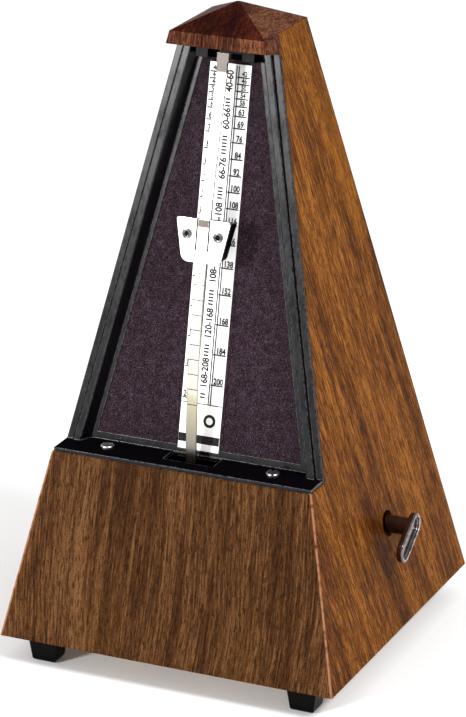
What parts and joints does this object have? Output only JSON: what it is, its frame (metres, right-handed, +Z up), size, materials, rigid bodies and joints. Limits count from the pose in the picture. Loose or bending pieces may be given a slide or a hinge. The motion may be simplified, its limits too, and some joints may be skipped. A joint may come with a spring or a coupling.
{
  "type": "metronome",
  "caption": "Wind-up pendulum metronome in a pyramid-shaped wooden case without its front cover, with a scale plate, a sliding weight and a side winding key.",
  "frame": {"origin": "on the floor below the centre of the square case, at the height of the feet's undersides", "axes": "+Z up; -Y is the front with the scale; +X is the side with the winding key"},
  "size_m": [0.1173, 0.115, 0.2106],
  "materials": {
    "front_wood": "satin",
    "side_wood": "satin",
    "plain_board": "matte",
    "black_plastic": "matte",
    "gloss_black": "gloss",
    "backing": "matte",
    "scale_enamel": "satin",
    "rod_steel": "satin",
    "steel": "satin",
    "brass": "satin",
    "chrome": "polished"
  },
  "bodies": {
    "case": {"left_panel": "side_wood", "right_panel": "side_wood", "back_panel": "side_wood", "front_panel": "front_wood", "roof_cap": "front_wood", "bottom_board": "plain_board", "left_cleat": "plain_board", "right_cleat": "plain_board", "left_ledge_block": "plain_board", "right_ledge_block": "plain_board", "foot_front_left": "black_plastic", "foot_front_right": "black_plastic", "foot_back_left": "black_plastic", "foot_back_right": "black_plastic", "foot_screws": "steel", "board_screws": "steel", "scale_frame": "gloss_black", "frame_screws": "steel", "backplate": "backing", "scale_plate": "scale_enamel", "rod_catch": "black_plastic", "inner_plate": "brass", "outer_plate": "brass", "frame_pillars": "brass", "pillar_screws": "steel", "movement_screws": "steel", "front_bearing": "brass", "rear_bearing": "brass", "bearing_screws": "steel", "click_screw": "steel", "click_spring": "steel"},
    "winder": {"winding_key": "chrome", "winding_arbor": "steel", "ratchet_wheel": "steel"},
    "click": {"ratchet_click": "steel"},
    "barrel": {"spring_barrel": "brass", "barrel_cover": "brass", "mainspring": "steel"},
    "intermediate": {"intermediate_arbor": "steel", "intermediate_pinion": "steel", "intermediate_wheel": "brass"},
    "escapement": {"escape_arbor": "steel", "escape_pinion": "steel", "escape_wheel": "brass"},
    "pendulum": {"pendulum_rod": "rod_steel", "counterweight": "brass", "counterweight_screw": "steel", "rod_hub": "brass", "pendulum_arbor": "steel", "front_pallet": "steel", "rear_pallet": "steel"},
    "sliding_weight": {"weight_front": "rod_steel", "weight_body": "black_plastic", "weight_spring": "steel", "weight_rivets": "steel"}
  },
  "joints": [
    {"name": "key_turn", "type": "hinge", "parent": "case", "child": "winder", "pos_m": [0.04, 0.005, 0.043], "axis": [1, 0, 0], "continuous": true},
    {"name": "click_lift", "type": "hinge", "parent": "case", "child": "click", "pos_m": [0.0305, -0.00376, 0.0496], "axis": [1, 0, 0], "range_deg": [0, 8], "stiffness_Nm_per_rad": 0.0008, "springref_deg": -20.05},
    {"name": "barrel_turn", "type": "hinge", "parent": "case", "child": "barrel", "pos_m": [0.016, 0.005, 0.043], "axis": [1, 0, 0], "continuous": true},
    {"name": "intermediate_turn", "type": "hinge", "parent": "case", "child": "intermediate", "pos_m": [0.018, -0.01249, 0.04342], "axis": [1, 0, 0], "continuous": true},
    {"name": "escape_turn", "type": "hinge", "parent": "case", "child": "escapement", "pos_m": [0.018, -0.018, 0.05629], "axis": [1, 0, 0], "continuous": true},
    {"name": "pendulum_swing", "type": "hinge", "parent": "case", "child": "pendulum", "pos_m": [0, -0.03754, 0.06], "axis": [0, 0.9825, -0.1865], "range_deg": [-20, 20]},
    {"name": "weight_slide", "type": "slide", "parent": "pendulum", "child": "sliding_weight", "axis": [0, 0.1865, 0.9825], "range_m": [-0.059, 0.043]}
  ],
  "couplings": [
    {"joint": "intermediate_turn", "follows": "barrel_turn", "ratio": -6},
    {"joint": "escape_turn", "follows": "barrel_turn", "ratio": 36}
  ]
}
